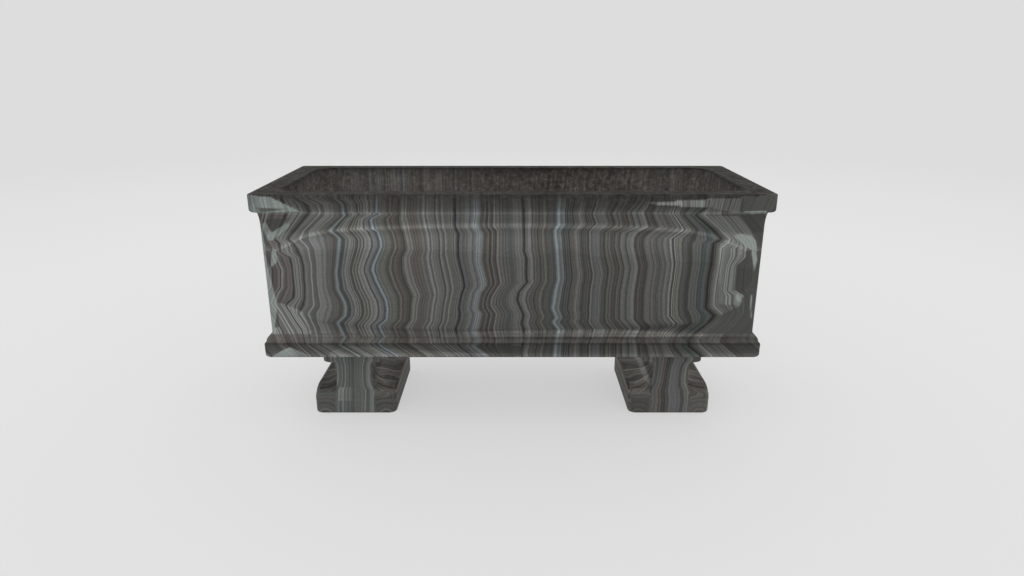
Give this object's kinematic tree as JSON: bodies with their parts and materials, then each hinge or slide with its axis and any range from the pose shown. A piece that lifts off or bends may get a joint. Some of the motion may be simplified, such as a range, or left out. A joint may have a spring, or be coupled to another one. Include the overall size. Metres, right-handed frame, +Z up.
{
  "type": "stone trough",
  "caption": "Long rectangular trough of banded stone, open at the top, with a flat rim, cushioned walls and a moulded plinth, raised on waisted stone feet.",
  "frame": {"origin": "on the ground under the middle of the trough", "axes": "+X runs along the trough to the right as seen from its front, +Y runs from the front to the back, +Z is up"},
  "size_m": [1.2, 0.452, 0.595],
  "materials": {
    "basin_stone": "soft polish",
    "left_foot_stone": "soft polish",
    "right_foot_stone": "soft polish",
    "bed_mortar": "matt, trowelled",
    "dowel_bronze": "sawn and dull"
  },
  "bodies": {
    "root": {"trough_basin": "basin_stone", "left_foot": "left_foot_stone", "right_foot": "right_foot_stone", "left_bed": "bed_mortar", "right_bed": "bed_mortar", "left_front_dowel": "dowel_bronze", "left_rear_dowel": "dowel_bronze", "right_front_dowel": "dowel_bronze", "right_rear_dowel": "dowel_bronze"}
  },
  "joints": []
}
